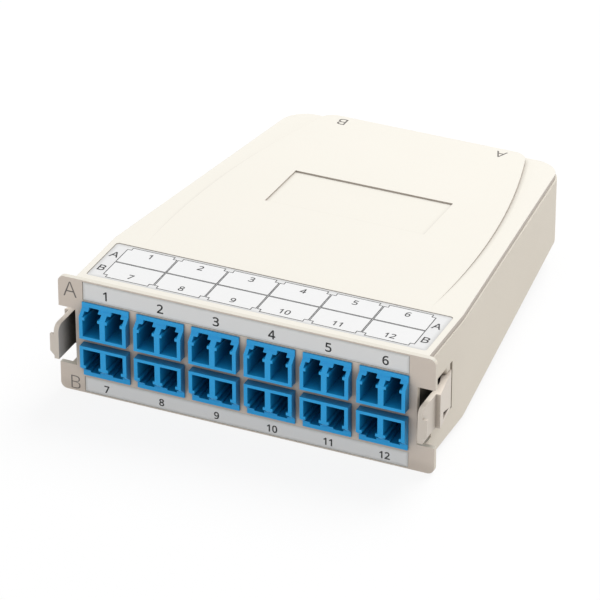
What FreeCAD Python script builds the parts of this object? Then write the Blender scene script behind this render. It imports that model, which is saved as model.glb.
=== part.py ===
import FreeCAD, Part
import math
import os

V = FreeCAD.Vector

# Front flange, the plate that stops against the panel, and how far it stands out past the body
flange_side = 2.85
flange_above = 1.6
flange_thickness = 1.4
flange_corner = 1.8

# Body behind the flange: level as far as the crease, then narrowing on every side to the rear.
# Its width leaves this much room on each side of the adapter rows.
body_side_room = 3.975
body_rear_narrowing = 9.1
body_depth = 117.2
crease_depth = 25.6
body_bottom = 1.8
body_bottom_rise = 4.9
wall = 1.8
rear_corner = 8.0

# Top cover, set in a little from the walls so that their rim shows as a ledge
cover_top = 31.0
cover_edge_height = 1.5
cover_setback = 0.4
land_fall = 4.7
panel_fall = 3.5
panel_side = 8.55
panel_widest_depth = 42.0
panel_edge_radius = 262.0
panel_corner = 4.5
lip_height = 1.6
lip_wall = 1.0
fit_gap = 0.1

# Snap hooks on the cover's lip
hook_width = 6.0
hook_reach = 0.5
hook_height = 1.0
hook_depths = (36.0, 64.0, 92.0)

# Recesses of the top face
label_side = 2.1
label_depth = 17.8
label_start = 5.7
label_recess = 0.3
label_thickness = 0.15
label_corner = 0.8
badge_width = 44.6
badge_depth = 19.5
badge_start = 61.5
badge_recess = 0.45

# Grey strips that carry the port numbers
strip_side = 4.0
strip_recess = 0.4
strip_thickness = 0.25
strip_margin = 0.45
upper_strip_height = 5.2
lower_strip_bottom = 0.35
lower_strip_height = 4.4

# Duplex adapters in two rows
columns = 6
adapter_pitch = 15.09
adapter_width = 13.0
adapter_height = 9.5
row_gap = 2.09
upper_row_bottom = 17.15
face_proud = 2.44
face_set_in = 0.55
face_break = 6.3
face_band = 8.0
snout_shrink = 0.35
snout_length = 21.5
window_gap = 0.1

# One port of an adapter
port_pitch = 6.25
port_width = 4.7
port_floor = 0.87
port_nub_start = 5.45
port_nub_end = 6.3
port_nub_width = 3.56
port_ear_top = 7.4
port_slot_width = 2.66
port_slot_top = 8.33
middle_wall = 1.2
sleeve_axis = 3.2
sleeve_radius = 0.81
sleeve_bore = 0.62
sleeve_length = 6.8
small_round_side_count = 12
ferrule_start = 0.1

# Side notch in the flange and the latch opening behind it
notch_bottom = 7.55
notch_top = 23.9
slot_length = 3.3
opening_bottom = 8.6
opening_top = 22.0
opening_end = 18.0
bay_wall = 0.9
bay_room = 1.2
bay_merge = 0.25

# Spring latch, placed from the body's side
tab_reach = 5.15
tab_standoff = 0.4
tab_thickness = 1.35
tab_bottom = 11.45
tab_top = 21.05
tab_round = 2.0
tab_straight = 5.0
tab_bend = 9.6
tab_bend_in = 0.3
lip_outer = 1.15
lip_length = 0.85
lip_bottom = 12.3
lip_top = 18.4
lip_slope = 1.2
barb_front = 3.27
barb_height = 1.2
arm_rear_bottom = 9.6
arm_rear_top = 20.2
arm_root = 0.9
arm_rear_side = 0.2
arm_rear = 16.9
hinge_inset = 1.3
hinge_depth = 15.4
barrel_radius = 1.1
pin_radius = 0.5
pin_grip = 2.6
boss_radius = 1.7
hinge_gap = 0.06
spring_radius = 1.0
spring_height = 2.4
pocket_front = 7.2
pocket_rear = 14.2
pocket_bottom = 11.5
pocket_drop = 0.8
pocket_top = 13.7
pocket_floor = 0.9

# Rear ports and what is plugged into them inside
rear_port_bottom = 11.2
rear_adapter_width = 13.0
rear_adapter_height = 9.5
rear_adapter_inside = 18.0
rear_adapter_outside = 6.0
rear_flange_width = 16.4
rear_flange_thickness = 2.0
rear_opening_width = 10.4
rear_opening_height = 7.2
rear_key_width = 3.4
rear_key_height = 0.7
rear_mating_inset = 6.0
rear_plug_width = 9.6
rear_plug_height = 6.4
rear_plug_tail = 5.0
rear_boot_width = 7.7
rear_boot_length = 6.0

# Plugs, fibres and fan-out blocks inside
plug_side = 4.4
plug_tail = 5.0
boot_side = 3.0
boot_length = 9.0
fibre_radius = 0.45
fibre_side_count = 6
block_width = 16.0
block_length = 14.0
block_height = 9.0
ribbon_length = 8.2
cradle_height = 8.8
cradle_wall = 1.2
cradle_rise = 4.0
block_fibre_pitch = 1.2
ribbon_width = 6.0
ribbon_height = 1.0

# Values that follow from the sizes above
body_width = (columns - 1) * adapter_pitch + adapter_width + 2 * body_side_room
half_body = body_width / 2
half_rear = half_body - body_rear_narrowing
half_panel = half_body - panel_side
label_width = body_width - 2 * label_side
strip_width = body_width - 2 * strip_side
rear_port_pitch = adapter_pitch * columns / 2
half_cover = half_body - cover_setback
seam_height = cover_top - cover_edge_height
lower_row_bottom = upper_row_bottom - row_gap - adapter_height
half_flange = half_body + flange_side
flange_height = cover_top + flange_above
upper_strip_bottom = flange_height - strip_margin - upper_strip_height
tab_inner = half_body + tab_standoff
hinge_side = half_body - hinge_inset
inner_side = half_body - wall
middle_depth = (snout_length - face_proud) / 2
barrel_bottom = arm_rear_bottom + spring_height + hinge_gap
boss_top = seam_height - lip_height - 2 * fit_gap
tab_outer = tab_inner + tab_thickness
rear_end = body_depth + rear_adapter_outside
rear_plug_back = body_depth - rear_adapter_inside - rear_plug_tail
block_front = rear_plug_back - rear_boot_length - ribbon_length - block_length
origin_depth = (rear_end - tab_reach) / 2


def box(x0, x1, y0, y1, z0, z1):
    return Part.makeBox(x1 - x0, y1 - y0, z1 - z0, V(x0, y0, z0))


def prism(points, direction):
    wire = Part.makePolygon(points + [points[0]])
    return Part.Face(wire).extrude(direction)


def post(x, y, z0, z1, radius):
    return Part.makeCylinder(radius, z1 - z0, V(x, y, z0))


def flat_sided_rod(start, run, radius, flats):
    """Thin rod with flats in place of a round side, which keeps what repeats light."""
    along = V(run).normalize()
    first = along.cross(V(0, 0, 1)).normalize() * radius
    turn = 360.0 / flats
    corners = []
    for index in range(flats):
        corners.append(start + FreeCAD.Rotation(along, turn * (index + 0.5)).multVec(first))
    return prism(corners, run)


def upright_edges(shape, x_limit, y_limit):
    found = []
    for edge in shape.Edges:
        centre = edge.CenterOfMass
        ends = [v.Point for v in edge.Vertexes]
        upright = len(ends) == 2 and abs(ends[0].x - ends[1].x) + abs(ends[0].y - ends[1].y) < 0.001
        if upright and abs(centre.x) > x_limit and centre.y > y_limit:
            found.append(edge)
    return found


def plan_prism(half_front, half_back, front, back, corner):
    """Outline from above: straight sides to the crease, tapering to round rear corners."""
    points = [
        V(-half_front, front, -1), V(half_front, front, -1), V(half_front, crease_depth, -1),
        V(half_back, back, -1), V(-half_back, back, -1), V(-half_front, crease_depth, -1),
    ]
    solid = prism(points, V(0, 0, flange_height + 2))
    return solid.makeFillet(corner, upright_edges(solid, half_back - 1, back - 1))


def side_prism(front, back, bottom, bottom_rise, top, top_fall):
    """Outline from the side: level to the crease, then sloping to the rear."""
    slope_share = (back - crease_depth) / (body_depth - crease_depth)
    points = [
        V(-half_flange, front, bottom), V(-half_flange, crease_depth, bottom),
        V(-half_flange, back, bottom + bottom_rise * slope_share),
        V(-half_flange, back, top - top_fall * slope_share),
        V(-half_flange, crease_depth, top), V(-half_flange, front, top),
    ]
    return prism(points, V(2 * half_flange, 0, 0))


def even_fillet(shape, radius, chosen):
    edges = [edge for edge in shape.Edges if chosen(edge.BoundBox)]
    return shape.makeFillet(radius, edges)


def rounded_sheet(width, depth, height, front, bottom, corner):
    """Flat sheet lying level, with round corners in plan."""
    sheet = box(-width / 2, width / 2, front, front + depth, bottom, bottom + height)
    return even_fillet(sheet, corner, lambda b: b.ZLength > height / 2 and b.XLength + b.YLength < height / 2)


# Base shell

def make_flange():
    plate = box(-half_flange, half_flange, 0, flange_thickness, 0, flange_height)
    plate = even_fillet(plate, flange_corner, lambda b: b.XLength + b.ZLength < 0.01)
    for side in (-1, 1):
        notch = side_box(side, inner_side, half_flange + 1, -1, flange_thickness + 1, notch_bottom, notch_top)
        plate = plate.cut(notch)
    return plate


def make_body_tub():
    outer = plan_prism(half_body, half_rear, 0, body_depth, rear_corner)
    outer = outer.common(side_prism(0, body_depth, body_bottom, body_bottom_rise, seam_height, land_fall))
    room = plan_prism(inner_side, half_rear - wall, flange_thickness, body_depth - wall, rear_corner - wall)
    floor = side_prism(flange_thickness, body_depth, body_bottom + wall, body_bottom_rise, flange_height + 1, 0)
    return outer.cut(room.common(floor)), outer


def side_box(side, inner, outer, y0, y1, z0, z1):
    """Box from its inner to its outer distance from the middle, on one side."""
    return box(min(side * inner, side * outer), max(side * inner, side * outer), y0, y1, z0, z1)


def latch_opening(side):
    outer = half_body + 1
    slot_end = flange_thickness + slot_length
    slot = side_box(side, inner_side, outer, -1, slot_end, notch_bottom, notch_top)
    return slot.fuse(side_box(side, inner_side, outer, flange_thickness, opening_end, opening_bottom, opening_top))


def latch_bay(side, outer):
    """Inner wall that closes the latch off from the fibres."""
    inner = hinge_side - boss_radius - bay_wall + bay_merge
    end = opening_end + bay_room
    floor = body_bottom + wall / 2
    along = side_box(side, inner, inner + bay_wall, flange_thickness / 2, end + bay_wall, floor, boss_top)
    across = side_box(side, inner, inner_side + wall / 2, end, end + bay_wall, floor, boss_top)
    return along.fuse(across).common(outer)


def pin_bosses(side, outer):
    x = side * hinge_side
    lower = post(x, hinge_depth, body_bottom, arm_rear_bottom - hinge_gap, boss_radius)
    upper = post(x, hinge_depth, arm_rear_top + hinge_gap, boss_top, boss_radius)
    return lower.fuse(upper).common(outer)


def pin_bore(side):
    return post(side * hinge_side, hinge_depth, arm_rear_bottom - pin_grip, boss_top + 1, pin_radius)


def hook_band(grow):
    """Band round the inside of the walls where the cover's hooks catch."""
    reach = hook_reach + grow - wall
    band = plan_prism(half_body + reach, half_rear + reach, flange_thickness, body_depth + reach, rear_corner)
    low = seam_height - lip_height - grow
    band = band.common(side_prism(0, body_depth, low, -land_fall, low + hook_height + 2 * grow, land_fall))
    cells = []
    for depth in hook_depths:
        half = hook_width / 2 + grow
        cells.append(box(-half_flange, half_flange, depth - half, depth + half, 0, flange_height))
    return band.common(Part.makeCompound(cells))


def cradles(outer):
    """Low trays that hold the fan-out blocks level on the sloping floor."""
    made = []
    for side in (-1, 1):
        half = block_width / 2 + fit_gap
        x = side * rear_port_pitch / 2
        y0, y1 = block_front, block_front + block_length
        made.append(box(x - half, x + half, y0, y1, body_bottom + wall / 2, cradle_height))
        for edge in (-1, 1):
            a = x + edge * half
            b = a + edge * cradle_wall
            made.append(box(min(a, b), max(a, b), y0, y1, body_bottom + wall / 2, cradle_height + cradle_rise))
    return Part.makeCompound(made).common(outer)


def adapter_window(x, bottom):
    half = adapter_width / 2 - snout_shrink + window_gap
    low = bottom + snout_shrink - window_gap
    high = bottom + adapter_height - snout_shrink + window_gap
    return box(x - half, x + half, -1, flange_thickness + 1, low, high)


def rear_window(side):
    half = rear_adapter_width / 2 + window_gap
    x = side * rear_port_pitch / 2
    top = rear_port_bottom + rear_adapter_height + window_gap
    return box(x - half, x + half, body_depth - 2 * wall, body_depth + 1, rear_port_bottom - window_gap, top)


def strip_pocket(bottom, height):
    half = strip_width / 2
    return box(-half, half, -1, strip_recess, bottom, bottom + height)


def make_base():
    tub, outer = make_body_tub()
    base = make_flange().fuse(tub)
    for side in (-1, 1):
        base = base.cut(latch_opening(side)).fuse([pin_bosses(side, outer), latch_bay(side, outer)])
        base = base.cut(pin_bore(side))
        base = base.cut(rear_window(side))
    base = base.fuse(cradles(outer))
    base = base.cut(Part.makeCompound([adapter_window(x, z) for x, z in adapter_places()]))
    base = base.cut(strip_pocket(upper_strip_bottom, upper_strip_height))
    base = base.cut(strip_pocket(lower_strip_bottom, lower_strip_height))
    return base.cut(hook_band(fit_gap)).removeSplitter()


# Top cover

def panel_half_width(y):
    run = y - panel_widest_depth
    return half_panel - panel_edge_radius + math.sqrt(panel_edge_radius ** 2 - run ** 2)


def panel_prism(back):
    """Outline of the raised panel: two long arcs that close in towards the rear."""
    middle = (crease_depth + back) / 2
    corners = {}
    arcs = []
    for side in (-1, 1):
        marks = [V(side * panel_half_width(y), y, 0) for y in (crease_depth, middle, back)]
        corners[side] = marks
        arcs.append(Part.Arc(*marks).toShape())
    front = Part.makeLine(corners[-1][0], corners[1][0])
    rear = Part.makeLine(corners[-1][2], corners[1][2])
    face = Part.Face(Part.Wire(Part.__sortEdges__(arcs + [front, rear])))
    solid = face.extrude(V(0, 0, flange_height + 2))
    return solid.makeFillet(panel_corner, upright_edges(solid, 1, back - 1))


def cover_lip(front, back):
    inset = wall + fit_gap
    outer = plan_prism(half_body - inset, half_rear - inset, front, body_depth - inset, rear_corner - inset)
    inset += lip_wall
    inner = plan_prism(
        half_body - inset, half_rear - inset, front + lip_wall, body_depth - inset, rear_corner - inset)
    low = seam_height - lip_height
    high = seam_height + cover_edge_height / 2
    return outer.cut(inner).common(side_prism(front, back, low, -land_fall, high, land_fall))


def make_cover():
    front = flange_thickness + fit_gap
    back = body_depth - cover_setback
    corner = rear_corner - cover_setback
    land = plan_prism(half_cover, half_rear - cover_setback, front, back, corner)
    land = land.common(side_prism(front, back, seam_height, -land_fall, cover_top, land_fall))
    panel = panel_prism(back).common(side_prism(crease_depth, back, seam_height, -land_fall, cover_top, panel_fall))
    lip = cover_lip(front, back)
    hooks = hook_band(0).cut(plan_prism(inner_side - lip_wall, half_rear - wall - lip_wall, front, back, corner))
    cover = land.fuse([panel, lip, hooks])
    label_pocket = rounded_sheet(label_width, label_depth, 1, label_start, cover_top - label_recess, label_corner)
    return cover.cut(label_pocket).cut(badge_pocket()).removeSplitter()


def badge_pocket():
    """Shallow bare pocket that follows the slope of the raised panel."""
    half = badge_width / 2
    front, back = badge_start, badge_start + badge_depth
    points = []
    for y, lift in ((front, -badge_recess), (back, -badge_recess), (back, 1), (front, 1)):
        share = (y - crease_depth) / (body_depth - crease_depth)
        points.append(V(-half, y, cover_top - panel_fall * share + lift))
    return prism(points, V(badge_width, 0, 0))


# Adapters and what they hold

def adapter_places():
    places = []
    for bottom in (upper_row_bottom, lower_row_bottom):
        for column in range(columns):
            places.append(((column - (columns - 1) / 2) * adapter_pitch, bottom))
    return places


def port_outline(x, y):
    """One keyed mouth: square below, ribs at both sides, then the wider and the narrow latch slots."""
    half, nub = port_width / 2, port_nub_width / 2
    slot = port_slot_width / 2
    right = [
        (half, port_floor), (half, port_nub_start), (nub, port_nub_start), (nub, port_nub_end),
        (half, port_nub_end), (half, port_ear_top), (slot, port_ear_top), (slot, port_slot_top),
    ]
    left = [(-a, b) for a, b in reversed(right)]
    return [V(x + a, y, b) for a, b in right + left]


def small_rod(x, z, y0, y1, radius):
    return flat_sided_rod(V(x, y0, z), V(0, y1 - y0, 0), radius, small_round_side_count)


def make_adapter():
    """Duplex adapter with its bottom at the origin and its key side up."""
    half = adapter_width / 2
    profile = [
        V(-half, -face_proud, 0), V(-half, -face_proud, face_break), V(-half, -face_set_in, face_band),
        V(-half, -face_set_in, adapter_height), V(-half, 0, adapter_height), V(-half, 0, 0),
    ]
    head = prism(profile, V(adapter_width, 0, 0))
    side = half - snout_shrink
    snout = box(-side, side, 0, snout_length, snout_shrink, adapter_height - snout_shrink)
    body = head.fuse(snout)
    for x in (-port_pitch / 2, port_pitch / 2):
        front = prism(port_outline(x, -face_proud - 1), V(0, middle_depth + face_proud + 1 - middle_wall / 2, 0))
        rear = prism(port_outline(x, middle_depth + middle_wall / 2), V(0, snout_length, 0))
        bore = small_rod(x, sleeve_axis, middle_depth - middle_wall, middle_depth + middle_wall, sleeve_radius)
        body = body.cut(front).cut(rear).cut(bore)
    return body.removeSplitter()


def make_sleeve(x, z):
    start, end = middle_depth - sleeve_length / 2, middle_depth + sleeve_length / 2
    return small_rod(x, z, start, end, sleeve_radius).cut(small_rod(x, z, start - 1, end + 1, sleeve_bore))


def turned_over(shape, bottom):
    """The lower row is the upper one turned over, with its key side down."""
    flipped = shape.mirror(V(0, 0, 0), V(0, 0, 1))
    flipped.translate(V(0, 0, bottom + adapter_height))
    return flipped


def port_axes(bottom):
    height = sleeve_axis if bottom == upper_row_bottom else adapter_height - sleeve_axis
    axes = []
    for x, z in adapter_places():
        if z == bottom:
            axes += [(x - port_pitch / 2, z + height), (x + port_pitch / 2, z + height)]
    return axes


def make_plug(x, z):
    """Simplex plug at the inner side of a port: ferrule in its sleeve, square body and slim boot."""
    start = middle_depth + sleeve_length / 2
    end = snout_length + plug_tail
    half, slim = plug_side / 2, boot_side / 2
    ferrule = small_rod(x, z, middle_depth + ferrule_start, start, sleeve_bore)
    body = box(x - half, x + half, start, end, z - half, z + half)
    boot = box(x - slim, x + slim, end, end + boot_length, z - slim, z + slim)
    return body.fuse([ferrule, boot]).removeSplitter()


def block_mouth(x, z, index):
    """Where a fibre enters its fan-out block: each block serves the ports on its own side."""
    side = 1 if x > 0 else -1
    centre = side * rear_port_pitch / 2
    step = (index % columns - (columns - 1) / 2) * 2 * block_fibre_pitch
    level = cradle_height + block_height * (0.68 if z > upper_row_bottom else 0.32)
    return V(centre + step, block_front, level)


def make_fibre(x, z, index):
    start = V(x, snout_length + plug_tail + boot_length, z)
    run = block_mouth(x, z, index) - start
    overrun = V(run).normalize()
    thread = flat_sided_rod(start - overrun, run + overrun * 2, fibre_radius, fibre_side_count)
    room = box(-half_body, half_body, start.y, block_front, 0, flange_height)
    return thread.common(room)


def make_block(side):
    half = block_width / 2
    x = side * rear_port_pitch / 2
    top = cradle_height + block_height
    return box(x - half, x + half, block_front, block_front + block_length, cradle_height, top)


# Rear ports

def rear_middle():
    return rear_port_bottom + rear_adapter_height / 2


def centred(x, width, z, height, y0, y1):
    return box(x - width / 2, x + width / 2, y0, y1, z - height / 2, z + height / 2)


def make_rear_adapter(side):
    x, z = side * rear_port_pitch / 2, rear_middle()
    inner_end = body_depth - rear_adapter_inside
    body = centred(x, rear_adapter_width, z, rear_adapter_height, inner_end, rear_end)
    collar = centred(x, rear_flange_width, z, rear_adapter_height, body_depth, body_depth + rear_flange_thickness)
    mouth = centred(x, rear_opening_width, z, rear_opening_height, inner_end - 1, rear_end + 1)
    key_top = z + rear_opening_height / 2 + rear_key_height
    key = box(x - rear_key_width / 2, x + rear_key_width / 2, inner_end - 1, rear_end + 1, z, key_top)
    return body.fuse(collar).cut(mouth.fuse(key))


def make_rear_plug(side):
    x, z = side * rear_port_pitch / 2, rear_middle()
    front = body_depth - rear_mating_inset
    body = centred(x, rear_plug_width, z, rear_plug_height, rear_plug_back, front)
    start = rear_plug_back - rear_boot_length
    boot = centred(x, rear_boot_width, z, rear_plug_height / 2, start, rear_plug_back)
    return body.fuse(boot)


def make_ribbon(side):
    """Flat ribbon from the fan-out block up to the rear plug's boot."""
    x = side * rear_port_pitch / 2
    start = block_front + block_length
    end = start + ribbon_length
    low = cradle_height + block_height / 2
    high = rear_middle()
    half = ribbon_height / 2
    points = [V(x - ribbon_width / 2, y, z) for y, z in (
        (start, low - half), (end, high - half), (end, high + half), (start, low + half))]
    return prism(points, V(ribbon_width, 0, 0))


# Latches, made for the right side and mirrored for the left

def make_right_latch():
    barb = tab_outer + barb_height
    rear_side = half_body + arm_rear_side
    plan = [
        V(tab_inner, -tab_reach, 0), V(tab_outer, -tab_reach, 0), V(tab_outer, barb_front, 0),
        V(barb, barb_front, 0), V(rear_side, arm_rear, 0), V(hinge_side, arm_rear, 0),
        V(hinge_side - arm_root / 2, hinge_depth, 0), V(tab_inner - tab_bend_in, tab_bend, 0),
        V(tab_inner, tab_straight, 0),
    ]
    finger = prism(plan, V(0, 0, flange_height))
    narrow = hinge_depth - boss_radius - fit_gap
    sides = [
        V(0, -tab_reach, tab_bottom), V(0, barb_front, tab_bottom), V(0, narrow, arm_rear_bottom),
        V(0, opening_end, arm_rear_bottom), V(0, opening_end, arm_rear_top), V(0, narrow, arm_rear_top),
        V(0, barb_front, tab_top), V(0, -tab_reach, tab_top),
    ]
    finger = finger.common(prism(sides, V(half_flange + 1, 0, 0)))
    finger = even_fillet(finger, tab_round, lambda b: b.YMax < -tab_reach + 0.01 and b.ZMin > tab_top - 0.01)
    lip = [
        V(tab_outer, -tab_reach, lip_bottom), V(tab_outer + lip_outer, -tab_reach, lip_bottom + lip_slope),
        V(tab_outer + lip_outer, -tab_reach, lip_top), V(tab_outer, -tab_reach, lip_top),
    ]
    pocket = [
        V(0, pocket_front, pocket_bottom), V(0, pocket_rear, pocket_bottom - pocket_drop),
        V(0, pocket_front, pocket_top),
    ]
    floor = prism([corner + V(-pocket_floor, 0, 0) for corner in plan], V(0, 0, flange_height))
    recess = prism(pocket, V(half_flange, 0, 0)).cut(floor)
    barrel = post(hinge_side, hinge_depth, barrel_bottom, arm_rear_top, barrel_radius)
    finger = finger.cut(recess).fuse([prism(lip, V(0, lip_length, 0)), barrel])
    room = post(hinge_side, hinge_depth, 0, barrel_bottom, barrel_radius + hinge_gap)
    bore = post(hinge_side, hinge_depth, 0, flange_height, pin_radius + hinge_gap)
    return finger.cut(room).cut(bore).removeSplitter()


def make_pin(side):
    return post(side * hinge_side, hinge_depth, arm_rear_bottom - pin_grip, arm_rear_top + pin_grip, pin_radius)


def make_spring(side):
    x = side * hinge_side
    coil = post(x, hinge_depth, arm_rear_bottom, arm_rear_bottom + spring_height, spring_radius)
    return coil.cut(post(x, hinge_depth, 0, flange_height, pin_radius + hinge_gap))


# Labels

def make_strip(bottom, height):
    half = strip_width / 2 - fit_gap
    y1 = strip_recess
    return box(-half, half, y1 - strip_thickness, y1, bottom + fit_gap, bottom + height - fit_gap)


def make_top_label():
    trim = 2 * fit_gap
    return rounded_sheet(label_width - trim, label_depth - trim, label_thickness, label_start + fit_gap,
                         cover_top - label_recess, label_corner)


def all_nodes():
    nodes = {"base_shell": make_base(), "top_cover": make_cover()}
    right = make_right_latch()
    nodes["right_latch"] = right
    nodes["left_latch"] = right.mirror(V(0, 0, 0), V(1, 0, 0))
    for name, side in (("left", -1), ("right", 1)):
        nodes[name + "_latch_pin"] = make_pin(side)
        nodes[name + "_latch_spring"] = make_spring(side)
    pattern = make_adapter()
    for index, (x, bottom) in enumerate(adapter_places()):
        if bottom == upper_row_bottom:
            adapter = pattern.copy()
            adapter.translate(V(x, 0, bottom))
        else:
            adapter = turned_over(pattern, bottom)
            adapter.translate(V(x, 0, 0))
        nodes["adapter_%02d" % (index + 1)] = adapter
    for row, bottom in (("upper", upper_row_bottom), ("lower", lower_row_bottom)):
        axes = port_axes(bottom)
        nodes[row + "_sleeves"] = Part.makeCompound([make_sleeve(x, z) for x, z in axes])
        nodes[row + "_plugs"] = Part.makeCompound([make_plug(x, z) for x, z in axes])
        nodes[row + "_fibres"] = Part.makeCompound([make_fibre(x, z, i) for i, (x, z) in enumerate(axes)])
    for letter, side in (("a", 1), ("b", -1)):
        nodes["rear_adapter_" + letter] = make_rear_adapter(side)
        nodes["rear_plug_" + letter] = make_rear_plug(side)
        nodes["fanout_block_" + letter] = make_block(side)
        nodes["fibre_ribbon_" + letter] = make_ribbon(side)
    nodes["upper_number_strip"] = make_strip(upper_strip_bottom, upper_strip_height)
    nodes["lower_number_strip"] = make_strip(lower_strip_bottom, lower_strip_height)
    nodes["top_label"] = make_top_label()
    return nodes


def main():
    os.makedirs("parts", exist_ok=True)
    for name, shape in all_nodes().items():
        shape.translate(V(0, -origin_depth, 0))
        shape.exportStep("parts/" + name + ".step")
        print(name, "solids", len(shape.Solids), "valid", shape.isValid(), "volume", round(shape.Volume, 1))


main()
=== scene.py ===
import math

import bmesh
import bpy
from mathutils import Matrix, Vector


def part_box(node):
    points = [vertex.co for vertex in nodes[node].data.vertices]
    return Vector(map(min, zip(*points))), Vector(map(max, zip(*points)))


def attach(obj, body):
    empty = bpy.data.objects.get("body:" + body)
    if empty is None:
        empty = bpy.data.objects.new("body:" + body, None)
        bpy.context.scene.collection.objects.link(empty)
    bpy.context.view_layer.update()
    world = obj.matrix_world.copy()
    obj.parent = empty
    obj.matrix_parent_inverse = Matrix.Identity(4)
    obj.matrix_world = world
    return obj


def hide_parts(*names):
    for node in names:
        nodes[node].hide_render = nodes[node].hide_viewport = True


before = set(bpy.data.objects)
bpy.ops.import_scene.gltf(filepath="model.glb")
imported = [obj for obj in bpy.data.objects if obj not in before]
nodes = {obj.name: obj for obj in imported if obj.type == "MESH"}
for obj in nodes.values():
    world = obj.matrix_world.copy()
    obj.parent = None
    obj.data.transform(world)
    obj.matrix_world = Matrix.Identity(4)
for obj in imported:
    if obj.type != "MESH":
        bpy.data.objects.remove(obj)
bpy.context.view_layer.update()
mm = 0.001
housing = "housing"
latchBodies = {"left_latch": "left_latch_arm", "right_latch": "right_latch_arm"}
adapterNames = sorted(name for name in nodes if name.startswith("adapter_"))
portColumns = 6

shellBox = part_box("base_shell")
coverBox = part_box("top_cover")
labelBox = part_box("top_label")
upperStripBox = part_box("upper_number_strip")
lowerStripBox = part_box("lower_number_strip")
flangeFront = shellBox[0][1]  # depths on the object are measured from here
ground = shellBox[0][2]


def srgb(red, green, blue):
    # screen colour, 0 to 255, to the linear colour that shaders take
    def linear(value):
        value /= 255
        return value / 12.92 if value <= 0.04045 else ((value + 0.055) / 1.055) ** 2.4
    return (linear(red), linear(green), linear(blue), 1)


# small helpers for building shader trees
def newGroup(name, inputs, outputs):
    group = bpy.data.node_groups.new(name, "ShaderNodeTree")
    for label, kind, value in inputs:
        socket = group.interface.new_socket(name=label, in_out="INPUT", socket_type="NodeSocket" + kind)
        socket.default_value = value
    for label, kind in outputs:
        group.interface.new_socket(name=label, in_out="OUTPUT", socket_type="NodeSocket" + kind)
    return group, group.nodes.new("NodeGroupInput"), group.nodes.new("NodeGroupOutput")


def groupNode(tree, group, settings):
    node = tree.nodes.new("ShaderNodeGroup")
    node.node_tree = group
    for socket, value in settings.items():
        node.inputs[socket].default_value = value
    return node


def feed(tree, value, socket):
    # a number is set on the socket, anything else is linked to it
    if isinstance(value, (int, float)):
        socket.default_value = value
    else:
        tree.links.new(value, socket)


def mathNode(tree, operation, first, second, third=None):
    node = tree.nodes.new("ShaderNodeMath")
    node.operation = operation
    for value, socket in zip((first, second, third), node.inputs):
        if value is not None:
            feed(tree, value, socket)
    return node.outputs[0]


def vectorNode(tree, operation, first, second=None, socket=1):
    node = tree.nodes.new("ShaderNodeVectorMath")
    node.operation = operation
    tree.links.new(first, node.inputs[0])
    if second is not None:
        tree.links.new(second, node.inputs[socket])
    return node.outputs[0]


def noiseNode(tree, vector, scale, detail, roughness=0.5):
    node = tree.nodes.new("ShaderNodeTexNoise")
    node.inputs["Detail"].default_value = detail
    node.inputs["Roughness"].default_value = roughness
    feed(tree, scale, node.inputs["Scale"])
    tree.links.new(vector, node.inputs["Vector"])
    return node.outputs["Fac"]


def rangeNode(tree, value, low, high, interpolation="LINEAR"):
    # 0 at low, 1 at high
    node = tree.nodes.new("ShaderNodeMapRange")
    node.interpolation_type = interpolation
    for number, label in ((value, "Value"), (low, "From Min"), (high, "From Max")):
        feed(tree, number, node.inputs[label])
    return node.outputs[0]


def objectCoord(tree):
    return tree.nodes.new("ShaderNodeTexCoord").outputs["Object"]


def axesOf(tree, vector):
    split = tree.nodes.new("ShaderNodeSeparateXYZ")
    tree.links.new(vector, split.inputs[0])
    return split.outputs


# soft clouds of tone and a fine mould grain, for every plastic here
def makeMouldGrain():
    group, entry, leave = newGroup("mouldGrain", [
        ("Colour", "Color", (0.8, 0.8, 0.8, 1)), ("Roughness", "Float", 0.5),
        ("Cloud Scale", "Float", 40.0), ("Cloud Strength", "Float", 0.03),
        ("Grain Scale", "Float", 3000.0), ("Grain Strength", "Float", 0.5),
    ], [("Colour", "Color"), ("Roughness", "Float"), ("Height", "Float")])
    coord = objectCoord(group)
    cloud = noiseNode(group, coord, entry.outputs["Cloud Scale"], detail=3)
    grain = noiseNode(group, coord, entry.outputs["Grain Scale"], detail=2)
    tone = mathNode(group, "SUBTRACT", cloud, 0.5)
    tone = mathNode(group, "MULTIPLY_ADD", tone, entry.outputs["Cloud Strength"], 1.0)
    speckle = mathNode(group, "SUBTRACT", grain, 0.5)
    speckle = mathNode(group, "MULTIPLY", speckle, entry.outputs["Cloud Strength"])
    tone = mathNode(group, "ADD", tone, speckle)
    colour = vectorNode(group, "SCALE", entry.outputs["Colour"], tone, "Scale")
    rough = mathNode(group, "MULTIPLY_ADD", speckle, 2.0, entry.outputs["Roughness"])
    height = mathNode(group, "MULTIPLY", grain, entry.outputs["Grain Strength"])
    for value, label in ((colour, "Colour"), (rough, "Roughness"), (height, "Height")):
        group.links.new(value, leave.inputs[label])
    return group


rubRange = (0.55, 0.75)  # noise under the first leaves no rub, over the second a full one


# long faint rubs along one direction, as handling and sliding leave
def makeRubMarks():
    group, entry, leave = newGroup("rubMarks", [
        ("Amount", "Float", 0.1), ("Stretch", "Vector", (1.0, 1.0, 1.0)), ("Scale", "Float", 400.0),
    ], [("Mask", "Float")])
    stretched = vectorNode(group, "MULTIPLY", objectCoord(group), entry.outputs["Stretch"])
    streaks = noiseNode(group, stretched, entry.outputs["Scale"], detail=4, roughness=0.6)
    mask = mathNode(group, "MULTIPLY", rangeNode(group, streaks, *rubRange), entry.outputs["Amount"])
    group.links.new(mask, leave.inputs["Mask"])
    return group


cavityRays = 8  # for each look around; the render's own samples smooth the rest


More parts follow.
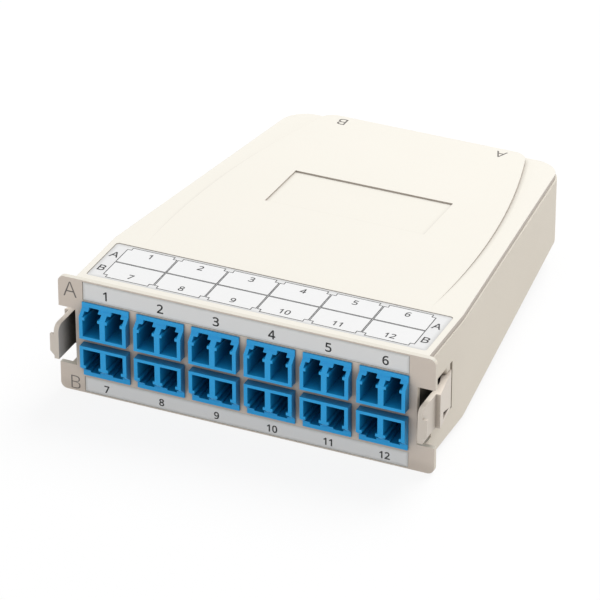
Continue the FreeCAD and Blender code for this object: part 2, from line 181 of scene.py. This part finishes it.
# a mask for corners, slots and gaps that light hardly reaches; it fades out near the ground
def makeCavityShade():
    group, entry, leave = newGroup("cavityShade", [
        ("Reach", "Float", 0.002), ("Depth", "Float", 1.0), ("Ground", "Float", 0.0),
        ("Clear Height", "Float", 0.004),
    ], [("Mask", "Float")])
    nearby = group.nodes.new("ShaderNodeAmbientOcclusion")
    nearby.samples = cavityRays
    group.links.new(entry.outputs["Reach"], nearby.inputs["Distance"])
    closed = mathNode(group, "SUBTRACT", 1.0, nearby.outputs["AO"])
    closed = mathNode(group, "MULTIPLY", closed, entry.outputs["Depth"])
    height = mathNode(group, "SUBTRACT", axesOf(group, objectCoord(group))["Z"], entry.outputs["Ground"])
    lifted = mathNode(group, "DIVIDE", height, entry.outputs["Clear Height"])
    lifted = mathNode(group, "MINIMUM", mathNode(group, "MAXIMUM", lifted, 0.0), 1.0)
    mask = mathNode(group, "MINIMUM", mathNode(group, "MULTIPLY", closed, lifted), 1.0)
    group.links.new(mask, leave.inputs["Mask"])
    return group


borderPatches = {"scale": 700.0, "detail": 3, "depth": 0.5}  # depth in mm


# a mask for painted shade along the border of a stuck-on label
def makeBorderShadeMask():
    group, entry, leave = newGroup("borderShadeMask", [
        ("Centre", "Vector", (0, 0, 0)), ("Half Size", "Vector", (1, 1, 1)), ("Width", "Float", 0.0008),
    ], [("Mask", "Float")])
    coord = objectCoord(group)
    past = vectorNode(group, "ABSOLUTE", vectorNode(group, "SUBTRACT", coord, entry.outputs["Centre"]))
    past = axesOf(group, vectorNode(group, "SUBTRACT", past, entry.outputs["Half Size"]))
    nearest = mathNode(group, "MAXIMUM", past["X"], past["Y"])
    nearest = mathNode(group, "MAXIMUM", nearest, past["Z"])
    patchy = noiseNode(group, coord, borderPatches["scale"], borderPatches["detail"])
    patchy = mathNode(group, "SUBTRACT", patchy, 0.5)
    nearest = mathNode(group, "MULTIPLY_ADD", patchy, borderPatches["depth"] * mm, nearest)
    start = mathNode(group, "MULTIPLY", entry.outputs["Width"], -1.0)
    group.links.new(rangeNode(group, nearest, start, 0.0, "SMOOTHSTEP"), leave.inputs["Mask"])
    return group


mouldGrain = makeMouldGrain()
rubMarks = makeRubMarks()
cavityShade = makeCavityShade()
borderShadeMask = makeBorderShadeMask()

# what a material has where its own look names nothing else; bumpDistance is in mm
plainLook = {
    "cloud": 0.03, "cloudScale": 40.0, "grain": 0.5, "grainScale": 3000.0, "rubs": 0.05,
    "rubStretch": (1.0, 0.08, 1.0), "bump": 0.15, "bumpDistance": 0.02, "shader": {},
}


def plasticMaterial(name, **changes):
    look = {**plainLook, **changes}
    material = bpy.data.materials.new(name)
    material.use_nodes = True
    tree = material.node_tree
    shader = tree.nodes["Principled BSDF"]
    skin = groupNode(tree, mouldGrain, {
        "Colour": look["colour"], "Roughness": look["roughness"], "Cloud Scale": look["cloudScale"],
        "Cloud Strength": look["cloud"], "Grain Scale": look["grainScale"], "Grain Strength": look["grain"],
    })
    rubs = groupNode(tree, rubMarks, {"Amount": look["rubs"], "Stretch": look["rubStretch"]})
    rough = mathNode(tree, "SUBTRACT", skin.outputs["Roughness"], rubs.outputs["Mask"])
    bump = tree.nodes.new("ShaderNodeBump")
    bump.inputs["Strength"].default_value = look["bump"]
    bump.inputs["Distance"].default_value = look["bumpDistance"] * mm
    tree.links.new(skin.outputs["Height"], bump.inputs["Height"])
    tree.links.new(skin.outputs["Colour"], shader.inputs["Base Color"])
    tree.links.new(rough, shader.inputs["Roughness"])
    tree.links.new(bump.outputs["Normal"], shader.inputs["Normal"])
    for socket, value in look["shader"].items():
        shader.inputs[socket].default_value = value
    return material


def secondTone(material, group, settings, tone):
    # paints shade: takes the material's colour down towards a darker second tone where the group's mask says
    tree = material.node_tree
    mask = groupNode(tree, group, settings)
    blend = tree.nodes.new("ShaderNodeMix")
    blend.data_type = "RGBA"
    blend.blend_type = "MULTIPLY"
    colour = tree.nodes["Principled BSDF"].inputs["Base Color"]
    tree.links.new(mask.outputs["Mask"], blend.inputs["Factor"])
    tree.links.new(colour.links[0].from_socket, blend.inputs["A"])
    blend.inputs["B"].default_value = tone
    tree.links.new(blend.outputs["Result"], colour)
    return material


def shadedPlastic(name, colour, reach, shade, depth, **look):
    # reach, in mm, is how far away a wall still darkens a face, depth how strongly
    plastic = plasticMaterial(name, colour=colour, **look)
    settings = {"Reach": reach * mm, "Depth": depth, "Ground": ground}
    return secondTone(plastic, cavityShade, settings, (*shade, 1))


def creamPlastic(name, colour, reach, shade, depth, **changes):
    look = {"roughness": 0.55, "cloud": 0.02, "grainScale": 2600.0, "bump": 0.25, **changes}
    return shadedPlastic(name, colour, reach, shade, depth, **look)


shellCream = creamPlastic("shellCream", srgb(234, 225, 210), 2.5, (0.42, 0.38, 0.35), 1.2)
# the flange's front faces: the shell's cream painted darker and warmer, as shade
flangeShadedCream = creamPlastic("flangeShadedCream", srgb(229, 216, 203), 3.5, (0.36, 0.32, 0.3), 1.2)
# the shell's faces that face up: its cream painted darker as shade
ledgeShadedCream = creamPlastic("ledgeShadedCream", srgb(222, 217, 205), 1.0, (0.5, 0.47, 0.44), 0.5)
coverCream = creamPlastic("coverCream", srgb(233, 229, 219), 1.2, (0.46, 0.44, 0.42), 1.1)
rimShadedCream = creamPlastic(  # the cover's upright faces and the soft edges that turn to the left: its cream painted darker as shade
    "rimShadedCream", srgb(206, 196, 186), 1.6, (0.34, 0.32, 0.31), 1.0)
insideShadedCream = creamPlastic(  # the shell's inner walls: rougher and unpolished, and their colour painted dark as shade
    "insideShadedCream", srgb(170, 160, 148), 6.0, (0.1, 0.1, 0.1), 1.2, roughness=0.7, cloud=0.06, grainScale=1800.0)
latchCream = creamPlastic("latchCream", srgb(229, 219, 207), 2.5, (0.25, 0.23, 0.22), 1.1, roughness=0.5)
# the latches' faces turned to the housing: their cream painted darker as the shade of the narrow gap
latchInsideShaded = creamPlastic("latchInsideShaded", srgb(214, 205, 196), 7.0, (0.07, 0.07, 0.07), 1.3, roughness=0.6)
portBlue = shadedPlastic(
    "portBlue", srgb(31, 177, 247), 7.0, (0.08, 0.21, 0.21), 0.88,
    roughness=0.42, cloud=0.04, cloudScale=90.0, grainScale=4200.0)
blackPlastic = plasticMaterial(
    "blackPlastic", colour=srgb(38, 39, 41), roughness=0.45, cloud=0.1, grainScale=3500.0)
whitePlastic = plasticMaterial("whitePlastic", colour=srgb(228, 230, 231), roughness=0.4)
jacketPlastic = plasticMaterial("jacketPlastic", colour=srgb(70, 190, 196), roughness=0.45)
ceramic = plasticMaterial(
    "ceramic", colour=srgb(240, 238, 230), roughness=0.12, cloud=0.01, grain=0.05, bump=0.02)
steel = plasticMaterial(
    "steel", colour=srgb(186, 188, 190), roughness=0.28, rubs=0.1, rubStretch=(1.0, 1.0, 0.05),
    grain=0.2, shader={"Metallic": 1.0})

paperLook = {"roughness": 0.38, "grainScale": 5200.0, "bump": 0.05}
# the tone of the painted shade along a label's border
borderShadeTone = (0.8, 0.8, 0.79, 1)


def labelPaper(name, box, colour, width):
    paper = plasticMaterial(name, colour=colour, cloud=0.01, **paperLook)
    middle = [(low + high) / 2 for low, high in zip(*box)]
    half = [(high - low) / 2 for low, high in zip(*box)]
    half[half.index(min(half))] = 1.0  # its thickness doesn't count as a border
    return secondTone(paper, borderShadeMask, {"Centre": middle, "Half Size": half, "Width": width * mm}, borderShadeTone)


labelWhite = labelPaper("labelWhite", labelBox, srgb(225, 225, 225), 1.4)
upperStripWhite = labelPaper("upperStripWhite", upperStripBox, srgb(245, 245, 244), 0.8)
lowerStripWhite = labelPaper("lowerStripWhite", lowerStripBox, srgb(245, 245, 244), 0.8)
labelField = plasticMaterial("labelField", colour=srgb(232, 232, 232), cloud=0.006, **paperLook)
printInk = plasticMaterial("printInk", colour=srgb(12, 12, 13), roughness=0.5, cloud=0.2)
greyInk = plasticMaterial("greyInk", colour=srgb(112, 106, 102), roughness=0.55, cloud=0.15)
coverInk = plasticMaterial("coverInk", colour=srgb(104, 99, 94), roughness=0.55, cloud=0.15)
print("materials ready")


def newPiece(name, bm, materials):
    mesh = bpy.data.meshes.new(name)
    bm.to_mesh(mesh)
    bm.free()
    for material in materials:
        mesh.materials.append(material)
    piece = bpy.data.objects.new(name, mesh)
    bpy.context.scene.collection.objects.link(piece)
    return piece


# moulded pieces: the radius, in mm, that the mould leaves on their edges, and their finish
edges = {
    "base_shell": (0.18, shellCream), "top_cover": (0.12, coverCream),
    "left_latch": (0.12, latchCream), "right_latch": (0.12, latchCream),
    "rear_adapter_a": (0.2, blackPlastic), "rear_adapter_b": (0.2, blackPlastic),
}
adapterEdge = 0.07
for adapterName in adapterNames:
    edges[adapterName] = (adapterEdge, portBlue)

# finishes 1, 2 and 3 of the pieces that have more than one: copies of the piece's cream with painted shade, the
# shell's inner walls also rougher
extraFinishes = {
    "base_shell": [insideShadedCream, flangeShadedCream, ledgeShadedCream], "top_cover": [rimShadedCream],
    "left_latch": [latchInsideShaded], "right_latch": [latchInsideShaded],
}

# the shell's room, in mm from the front: level sides to the crease, then closing in to the rear wall
shellRoom = {"side": 46.5, "rearSide": 37.4, "front": 1.5, "crease": 25.6, "rear": 115.6, "corner": 105.0}

# how far a face's normal leans along an axis before the face counts as turned that way
turned = {
    "shellDown": -0.5, "shellUp": 0.6, "shellForward": -0.8,
    "coverSteep": 0.5, "coverLeft": -0.3, "coverLevel": 0.95, "latchInward": -0.4,
}


def markShellFaces(bm):
    # 0 outer walls, 1 inner walls, 2 the flange's front, 3 the ledges that face up; 1 to 3 carry painted shade
    room = shellRoom
    for face in bm.faces:
        normal = face.normal
        x, y = face.calc_center_median().xy / mm
        y -= flangeFront / mm
        share = max(0.0, (y - room["crease"]) / (room["rear"] - room["crease"]))
        side = room["side"] + share * (room["rearSide"] - room["side"])
        inRoom = abs(x) < side and room["front"] < y < room["rear"]
        outerCorner = y > room["corner"] and normal.x * x + normal.y > 0
        if inRoom and normal.z > turned["shellDown"] and not outerCorner:
            face.material_index = 1
        elif normal.z > turned["shellUp"]:
            face.material_index = 3
        elif normal.y < turned["shellForward"] and y < room["front"]:
            face.material_index = 2


def markCoverFaces(bm):
    # 0 what faces up, 1 steps, rims and the soft edges that turn to the left, which are painted darker as shade
    for face in bm.faces:
        normal = face.normal
        softLeft = normal.x < turned["coverLeft"] and normal.z < turned["coverLevel"]
        if abs(normal.z) < turned["coverSteep"] or softLeft:
            face.material_index = 1


def markLatchFaces(bm, outward):
    # 0 what is seen from outside, 1 the faces turned to the housing, painted darker as shade
    for face in bm.faces:
        if face.normal.x * outward < turned["latchInward"]:
            face.material_index = 1


# merge in mm; in degrees: joins flatter than flat go, edges past rounded are bevelled, and what is still
# past hard after that is shaded hard
softening = {"merge": 0.002, "flat": 0.6, "rounded": 35, "hard": 33, "segments": 2}


def softCopy(name, radius, material):
    source = nodes[name]
    bm = bmesh.new()
    bm.from_mesh(source.data)
    bmesh.ops.remove_doubles(bm, verts=bm.verts, dist=softening["merge"] * mm)
    flat = math.radians(softening["flat"])
    bmesh.ops.dissolve_limit(bm, angle_limit=flat, verts=bm.verts, edges=bm.edges)
    rounded = math.radians(softening["rounded"])
    sharp = [edge for edge in bm.edges
             if len(edge.link_faces) == 2 and edge.is_convex and edge.calc_face_angle() > rounded]
    bmesh.ops.bevel(
        bm, geom=sharp, offset=radius * mm, offset_type="OFFSET", affect="EDGES",
        segments=softening["segments"], profile=0.5, material=-1, clamp_overlap=True)
    for face in bm.faces:
        face.smooth = True
    for edge in bm.edges:
        if len(edge.link_faces) == 2 and edge.calc_face_angle() > math.radians(softening["hard"]):
            edge.smooth = False
    if name == "base_shell":
        markShellFaces(bm)
    if name == "top_cover":
        markCoverFaces(bm)
    if name in latchBodies:
        markLatchFaces(bm, -1 if name == "left_latch" else 1)
    piece = newPiece(name + "_moulded", bm, [material, *extraFinishes.get(name, [])])
    weighted = piece.modifiers.new("even", "WEIGHTED_NORMAL")
    weighted.keep_sharp = True
    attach(piece, latchBodies.get(name, housing))
    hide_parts(name)


for nodeName, (radius, material) in edges.items():
    softCopy(nodeName, radius, material)
print("moulded pieces ready:", len(edges))


# pieces that keep the CAD mesh, by a word in their names
finishes = {
    "latch_pin": steel, "latch_spring": steel, "sleeves": ceramic, "plugs": whitePlastic,
    "fibres": jacketPlastic, "rear_plug": blackPlastic, "fanout": whitePlastic, "ribbon": jacketPlastic,
    "top_label": labelWhite, "upper_number_strip": upperStripWhite, "lower_number_strip": lowerStripWhite,
}
for nodeName, node in nodes.items():
    for part, material in finishes.items():
        if part in nodeName and nodeName not in edges:
            node.data.materials.clear()
            node.data.materials.append(material)
print("plain pieces finished")


inkLift = 0.02 * mm  # print stands this far off its surface
halfTurn = Matrix.Rotation(math.radians(180), 4, "Z")
standing = Matrix.Rotation(math.radians(90), 4, "X")  # reads from the front
lying = Matrix.Identity(4)  # reads from above, from the front

# the upright sans of Blender's own symbol font, whose 1 has a flag: where its 0 and its A are, and
# the height of a capital as a share of the font's size
lettering = {"zero": 0x1D7E2, "capitalA": 0x1D5A0, "capHeight": 0.715, "curveSteps": 4}


def meshPiece(name, bm, materials, body=housing):
    piece = newPiece(name, bm, materials)
    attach(piece, body)


def plainSans(words):
    letters = []
    for mark in words:
        first = lettering["zero"] - ord("0") if mark.isdigit() else lettering["capitalA"] - ord("A")
        letters.append(chr(ord(mark) + first))
    return "".join(letters)


def addText(bm, words, height, place, turn, weight=0.0):
    # built in mm, as its outline fills badly when tiny; turn carries its plane, X to the right and Y up,
    # onto the surface
    if words == "6":  # a 9 the other way up, whose outline takes the added weight cleanly
        words, turn = "9", turn @ halfTurn
    curve = bpy.data.curves.new("words", "FONT")
    curve.body = plainSans(words)
    curve.size = height / mm / lettering["capHeight"]
    curve.resolution_u = lettering["curveSteps"]
    curve.offset = weight
    carrier = bpy.data.objects.new("words", curve)
    bpy.context.scene.collection.objects.link(carrier)
    flat = bpy.data.meshes.new_from_object(carrier)
    xs = [v.co.x for v in flat.vertices]
    ys = [v.co.y for v in flat.vertices]
    middle = Matrix.Translation((-(min(xs) + max(xs)) / 2, -(min(ys) + max(ys)) / 2, 0))
    flat.transform(Matrix.Translation(place) @ turn @ Matrix.Scale(mm, 4) @ middle)
    bm.from_mesh(flat)
    bpy.data.objects.remove(carrier)
    bpy.data.meshes.remove(flat)
    bpy.data.curves.remove(curve)


# in mm, upper row first: the digits' height, how far they sit under the strip's middle and beside the port's
portNumbers = {
    "heights": (2.4, 1.9), "drops": (0.25, 0.3), "weight": 0.07,
    "shifts": ((-0.3, -0.17, 0.0, 0.0, 0.09, 0.13), (-0.42, -0.2, -0.1, 0.0, 0.0, 0.15)),
}


def makeStripNumbers():
    bm = bmesh.new()
    for row, box in enumerate((upperStripBox, lowerStripBox)):
        for column in range(portColumns):
            low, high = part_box(adapterNames[column])
            across = (low[0] + high[0]) / 2 + portNumbers["shifts"][row][column] * mm
            middle = (box[0][2] + box[1][2]) / 2 - portNumbers["drops"][row] * mm
            place = (across, box[0][1] - inkLift, middle)
            words = str(row * portColumns + column + 1)
            addText(bm, words, portNumbers["heights"][row] * mm, place, standing, portNumbers["weight"])
    meshPiece("strip_numbers", bm, [printInk])


# height, across and up, in mm
earLetters = {"weight": -0.09, "places": (("A", 4.4, -47.7, 29.25), ("B", 3.9, -46.8, 2.45))}


def makeEarLetters():
    bm = bmesh.new()
    for words, height, across, up in earLetters["places"]:
        place = (across * mm, flangeFront - inkLift, up * mm)
        addText(bm, words, height * mm, place, standing, earLetters["weight"])
    meshPiece("ear_letters", bm, [greyInk])


# in mm; edges, middle and letterRows are depths from the flange's front
labelMap = {
    "cellPitch": 14.1, "rearEdge": 22.75, "frontEdge": 6.6, "middle": 14.65, "gap": 0.06, "notch": 1.1,
    "line": 0.23, "digits": 2.05, "digitsInset": 2.45, "letters": 2.6, "letterSide": 44.0,
    "letterRows": (17.9, 10.6), "weight": 0.04,
}
mapHalf = portColumns * labelMap["cellPitch"] / 2


def labelPoint(x, y):
    return Vector((x * mm, flangeFront + y * mm, labelBox[1][2] + inkLift))


def addCell(bm, column, outer):
    # one field of the port map, its two outer corners stepped in
    notch, gap, inner = labelMap["notch"], labelMap["gap"], labelMap["middle"]
    left = column * labelMap["cellPitch"] - mapHalf
    right = left + labelMap["cellPitch"]
    away = 1 if outer > inner else -1
    start = left if column == 0 else left + gap  # the outermost fields have no gap at their ends
    end = right if column == portColumns - 1 else right - gap
    step = outer - away * notch
    outline = [
        (start, inner + away * gap), (end, inner + away * gap), (end, step), (right - notch, step),
        (right - notch, outer), (left + notch, outer), (left + notch, step), (start, step),
    ]
    face = bm.faces.new([bm.verts.new(labelPoint(x, y)) for x, y in outline])
    face.normal_update()
    if face.normal.z < 0:
        face.normal_flip()
    bmesh.ops.inset_individual(bm, faces=[face], thickness=labelMap["line"] * mm, use_even_offset=True)
    face.material_index = 1


def makeLabelMap():
    bm = bmesh.new()
    for column in range(portColumns):
        addCell(bm, column, labelMap["rearEdge"])
        addCell(bm, column, labelMap["frontEdge"])
    meshPiece("label_fields", bm, [printInk, labelField])


def makeLabelWords():
    bm = bmesh.new()
    digits, letters, weight = labelMap["digits"] * mm, labelMap["letters"] * mm, labelMap["weight"]
    rows = (labelMap["rearEdge"] - labelMap["digitsInset"], labelMap["frontEdge"] + labelMap["digitsInset"])
    lift = Vector((0, 0, inkLift))
    for row, y in enumerate(rows):
        for column in range(portColumns):
            x = (column + 0.5) * labelMap["cellPitch"] - mapHalf
            words = str(row * portColumns + column + 1)
            addText(bm, words, digits, labelPoint(x, y) + lift, lying, weight)
    for words, y in zip("AB", labelMap["letterRows"]):
        for side in (-1, 1):
            addText(bm, words, letters, labelPoint(side * labelMap["letterSide"], y), lying, weight)
    meshPiece("label_words", bm, [printInk])


# in mm: the cover falls by fall over run behind its crease; places say how far across
coverLetters = {"height": 3.4, "depth": 113.5, "crease": 25.6, "fall": 3.5, "run": 91.6,
                "places": (("B", -23.2), ("A", 22.6))}


def makeCoverLetters():
    bm = bmesh.new()
    slope = coverLetters["fall"] / coverLetters["run"]
    drop = slope * (coverLetters["depth"] - coverLetters["crease"]) * mm
    turn = Matrix.Rotation(-math.atan(slope), 4, "X") @ halfTurn
    for words, x in coverLetters["places"]:
        place = (x * mm, flangeFront + coverLetters["depth"] * mm, coverBox[1][2] - drop + inkLift)
        addText(bm, words, coverLetters["height"] * mm, place, turn)
    meshPiece("cover_letters", bm, [coverInk])


makeStripNumbers()
makeEarLetters()
makeLabelMap()
makeLabelWords()
makeCoverLetters()
print("print ready")


# one soft lamp above and behind, a weak one low in front, and an even white room; in metres and watts
studio = {
    "floorSize": 6.0, "floorTone": 0.57, "floorSeen": 0.95, "floorGlow": 0.85, "floorRoughness": 0.9,
    "ambient": 0.62, "lampPower": 25.5, "lampSize": 1.2, "lampPlace": (0.28, 1.2, 1.52),
    "fillPower": 1.9, "fillSize": 1.0, "fillPlace": (-0.3, -1.6, 0.3),
}
pureWhite = (1, 1, 1, 1)


def directlySeen(tree):
    # 1 where the eye meets a surface straight on or in a reflection, 0 for the light that it sends to others
    rays = tree.nodes.new("ShaderNodeLightPath")
    seen = mathNode(tree, "MAXIMUM", rays.outputs["Is Camera Ray"], rays.outputs["Is Glossy Ray"])
    return mathNode(tree, "MAXIMUM", seen, rays.outputs["Is Transmission Ray"])


def paleFloor():
    # lit by the lamps, so that it keeps shadows, but mostly its own glow where it is seen
    material = bpy.data.materials.new("paleFloor")
    material.use_nodes = True
    tree = material.node_tree
    shader = tree.nodes["Principled BSDF"]
    shader.inputs["Roughness"].default_value = studio["floorRoughness"]
    seen = directlySeen(tree)
    tone = mathNode(tree, "MULTIPLY_ADD", seen, studio["floorSeen"] - studio["floorTone"], studio["floorTone"])
    tree.links.new(tone, shader.inputs["Base Color"])
    glow = tree.nodes.new("ShaderNodeEmission")
    glow.inputs["Color"].default_value = pureWhite
    blend = tree.nodes.new("ShaderNodeMixShader")
    share = mathNode(tree, "MULTIPLY", seen, studio["floorGlow"])
    tree.links.new(share, blend.inputs["Fac"])
    tree.links.new(shader.outputs[0], blend.inputs[1])
    tree.links.new(glow.outputs[0], blend.inputs[2])
    tree.links.new(blend.outputs[0], tree.nodes["Material Output"].inputs["Surface"])
    return material


def makeFloor():
    bm = bmesh.new()
    bmesh.ops.create_grid(bm, x_segments=1, y_segments=1, size=studio["floorSize"] / 2)
    bmesh.ops.translate(bm, verts=bm.verts, vec=(0, 0, ground))
    floor = newPiece("studio_floor", bm, [paleFloor()])


def makeWorld():
    world = bpy.data.worlds.new("studio")
    world.use_nodes = True
    bpy.context.scene.world = world
    tree = world.node_tree
    background = tree.nodes["Background"]
    seen = directlySeen(tree)
    strength = mathNode(tree, "MULTIPLY_ADD", seen, 1 - studio["ambient"], studio["ambient"])
    background.inputs["Color"].default_value = pureWhite
    tree.links.new(strength, background.inputs["Strength"])


def placeLooking(name, data, place, look):
    carrier = bpy.data.objects.new(name, data)
    carrier.location = place
    carrier.rotation_euler = look.to_track_quat("-Z", "Y").to_euler()
    bpy.context.scene.collection.objects.link(carrier)
    return carrier


def addLamp(name, power, size, place):
    # a round lamp aimed at the object
    lamp = bpy.data.lights.new(name, "AREA")
    lamp.energy = power
    lamp.shape = "DISK"
    lamp.size = size
    placeLooking(name, lamp, place, -Vector(place))


# azimuth and elevation in degrees, place in metres, lens and sensor in mm of film
cameraSet = {
    "azimuth": 24.145, "elevation": 29.928, "place": (0.36938, -0.84911, 0.53937),
    "lens": 247.1, "sensor": 36, "nearest": 0.01,
}


def makeCamera():
    camera = bpy.data.cameras.new("camera")
    camera.lens = cameraSet["lens"]
    camera.sensor_width = cameraSet["sensor"]
    camera.clip_start = cameraSet["nearest"]
    azimuth, elevation = math.radians(cameraSet["azimuth"]), math.radians(cameraSet["elevation"])
    level = math.cos(elevation)
    look = Vector((-math.sin(azimuth) * level, math.cos(azimuth) * level, -math.sin(elevation)))
    bpy.context.scene.camera = placeLooking("camera", camera, cameraSet["place"], look)


makeFloor()
makeWorld()
addLamp("key_lamp", studio["lampPower"], studio["lampSize"], studio["lampPlace"])
addLamp("front_fill", studio["fillPower"], studio["fillSize"], studio["fillPlace"])
makeCamera()
bpy.context.scene.view_settings.view_transform = "Standard"
print("studio ready")
